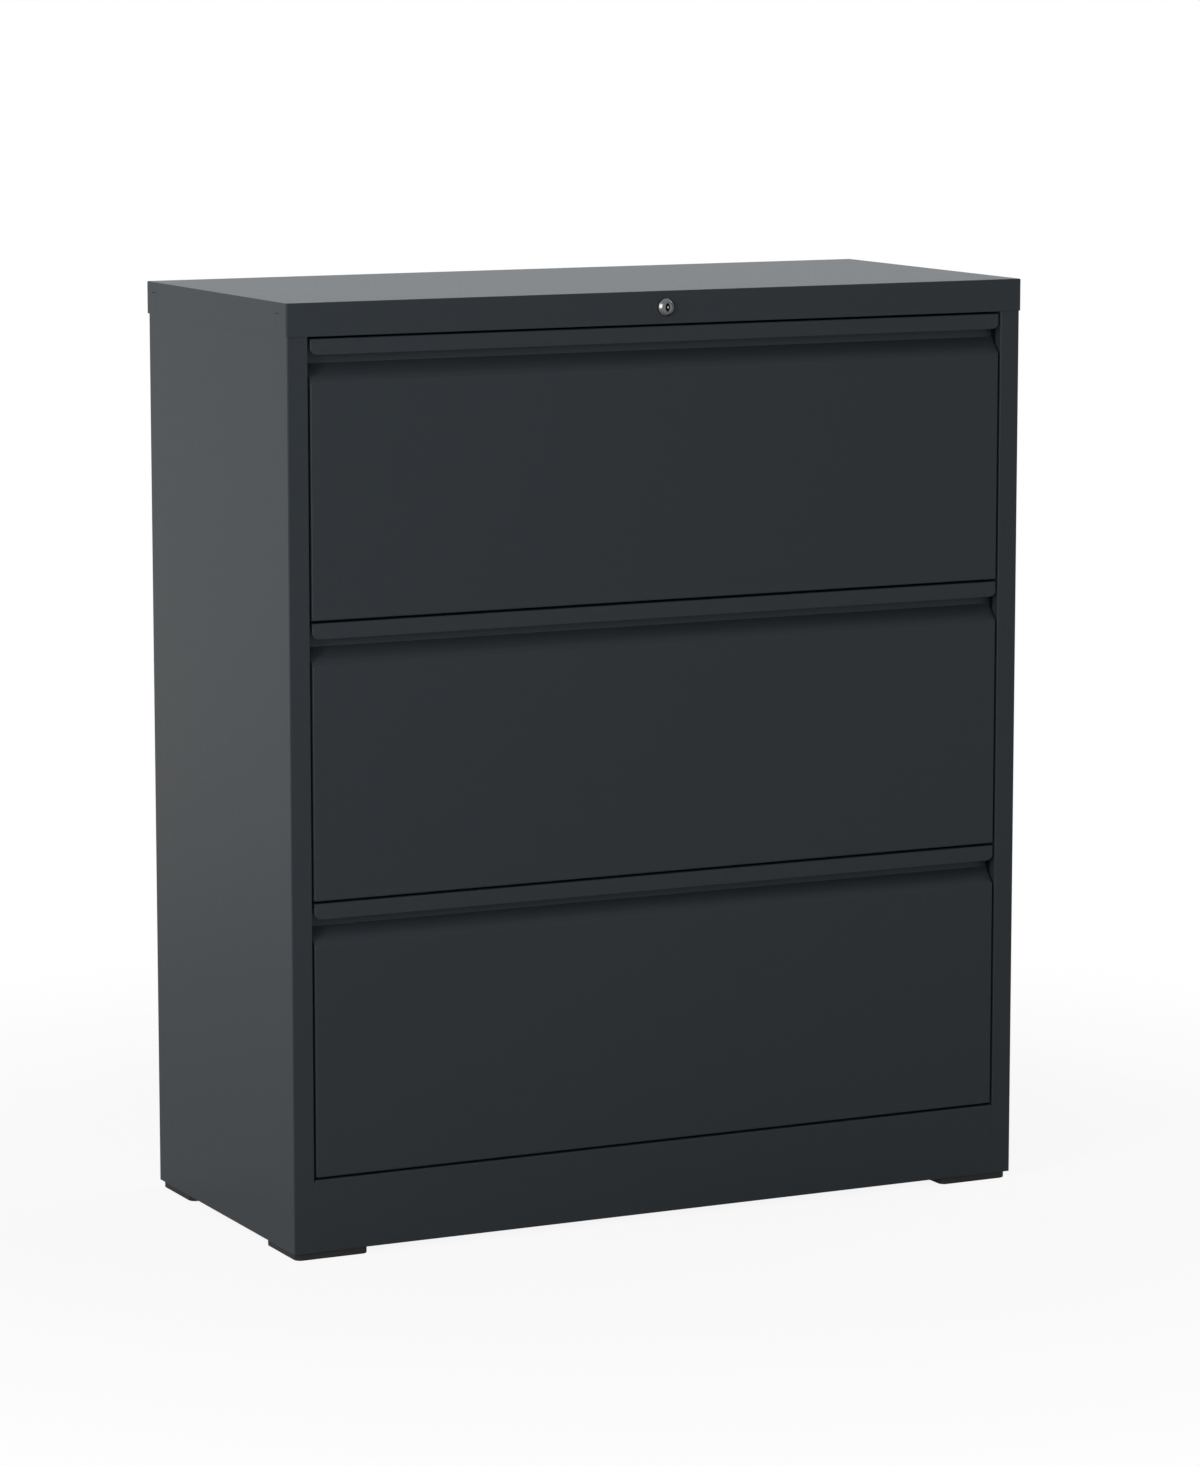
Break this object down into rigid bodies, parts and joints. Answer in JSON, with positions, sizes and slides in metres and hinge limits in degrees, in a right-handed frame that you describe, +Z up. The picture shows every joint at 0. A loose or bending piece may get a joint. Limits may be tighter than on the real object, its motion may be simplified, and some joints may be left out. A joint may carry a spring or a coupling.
{
  "type": "lateral filing cabinet",
  "caption": "Low wide steel filing cabinet with stacked full-width drawers on telescopic slides, finger pulls along the front edges, a capped top with a key lock, and flat corner feet.",
  "frame": {"origin": "on the floor, at the middle of the cabinet's width and of its depth with the lock included", "axes": "+Z up, +Y towards the back, +X to the right as seen by someone facing the drawers"},
  "size_m": [0.9, 0.405, 1.04],
  "materials": {
    "graphite_paint": "semi-matte graphite powder coat",
    "black_plastic": "matte moulded plastic",
    "zinc_steel": "bright zinc plate",
    "satin_nickel": "satin nickel plate",
    "brass": "turned brass"
  },
  "bodies": {
    "case": {"left_side_panel": "graphite_paint", "right_side_panel": "graphite_paint", "back_panel": "graphite_paint", "top_cap": "graphite_paint", "top_rail": "graphite_paint", "plinth": "graphite_paint", "base_panel": "graphite_paint", "left_front_upright": "graphite_paint", "left_rear_upright": "graphite_paint", "right_front_upright": "graphite_paint", "right_rear_upright": "graphite_paint", "left_front_foot": "black_plastic", "left_rear_foot": "black_plastic", "right_front_foot": "black_plastic", "right_rear_foot": "black_plastic", "lower_left_slide_outer": "zinc_steel", "lower_right_slide_outer": "zinc_steel", "middle_left_slide_outer": "zinc_steel", "middle_right_slide_outer": "zinc_steel", "upper_left_slide_outer": "zinc_steel", "upper_right_slide_outer": "zinc_steel", "lock_cylinder": "satin_nickel", "lock_nut": "brass", "lock_link_guide": "zinc_steel", "lock_bar_lower_guide": "zinc_steel", "lock_bar_upper_guide": "zinc_steel"},
    "lower_drawer": {"lower_drawer_front": "graphite_paint", "lower_drawer_inner_front": "graphite_paint", "lower_drawer_tray": "graphite_paint", "lower_file_frame": "zinc_steel", "lower_lock_catch": "zinc_steel", "lower_left_slide_inner": "zinc_steel", "lower_right_slide_inner": "zinc_steel"},
    "lower_slides": {"lower_left_slide_middle": "zinc_steel", "lower_right_slide_middle": "zinc_steel"},
    "middle_drawer": {"middle_drawer_front": "graphite_paint", "middle_drawer_inner_front": "graphite_paint", "middle_drawer_tray": "graphite_paint", "middle_file_frame": "zinc_steel", "middle_lock_catch": "zinc_steel", "middle_left_slide_inner": "zinc_steel", "middle_right_slide_inner": "zinc_steel"},
    "middle_slides": {"middle_left_slide_middle": "zinc_steel", "middle_right_slide_middle": "zinc_steel"},
    "upper_drawer": {"upper_drawer_front": "graphite_paint", "upper_drawer_inner_front": "graphite_paint", "upper_drawer_tray": "graphite_paint", "upper_file_frame": "zinc_steel", "upper_lock_catch": "zinc_steel", "upper_left_slide_inner": "zinc_steel", "upper_right_slide_inner": "zinc_steel"},
    "upper_slides": {"upper_left_slide_middle": "zinc_steel", "upper_right_slide_middle": "zinc_steel"},
    "lock_plug": {"lock_plug": "satin_nickel", "lock_cam": "zinc_steel"},
    "lock_link": {"lock_link": "zinc_steel"},
    "lock_bar": {"lock_bar": "zinc_steel", "lower_lock_tab": "zinc_steel", "middle_lock_tab": "zinc_steel", "upper_lock_tab": "zinc_steel"}
  },
  "joints": [
    {"name": "lower_drawer_slide", "type": "slide", "parent": "case", "child": "lower_drawer", "axis": [0, -1, 0], "range_m": [0, 0.34]},
    {"name": "lower_slides_follow", "type": "slide", "parent": "case", "child": "lower_slides", "axis": [0, -1, 0], "range_m": [0, 0.17]},
    {"name": "middle_drawer_slide", "type": "slide", "parent": "case", "child": "middle_drawer", "axis": [0, -1, 0], "range_m": [0, 0.34]},
    {"name": "middle_slides_follow", "type": "slide", "parent": "case", "child": "middle_slides", "axis": [0, -1, 0], "range_m": [0, 0.17]},
    {"name": "upper_drawer_slide", "type": "slide", "parent": "case", "child": "upper_drawer", "axis": [0, -1, 0], "range_m": [0, 0.34]},
    {"name": "upper_slides_follow", "type": "slide", "parent": "case", "child": "upper_slides", "axis": [0, -1, 0], "range_m": [0, 0.17]},
    {"name": "lock_bar_lift", "type": "slide", "parent": "case", "child": "lock_bar", "axis": [0, 0, 1], "range_m": [0, 0.008]},
    {"name": "lock_turn", "type": "hinge", "parent": "case", "child": "lock_plug", "pos_m": [0, -0.1975, 1.022], "axis": [0, 1, 0], "range_deg": [0, 90]},
    {"name": "lock_link_shift", "type": "slide", "parent": "case", "child": "lock_link", "axis": [1, 0, 0], "range_m": [0, 0.01132]}
  ],
  "couplings": [
    {"joint": "lower_slides_follow", "follows": "lower_drawer_slide", "ratio": 0.5},
    {"joint": "middle_slides_follow", "follows": "middle_drawer_slide", "ratio": 0.5},
    {"joint": "upper_slides_follow", "follows": "upper_drawer_slide", "ratio": 0.5},
    {"joint": "lock_turn", "follows": "lock_bar_lift", "rad_per_m": 196.35},
    {"joint": "lock_link_shift", "follows": "lock_bar_lift", "ratio": 1.4142}
  ]
}
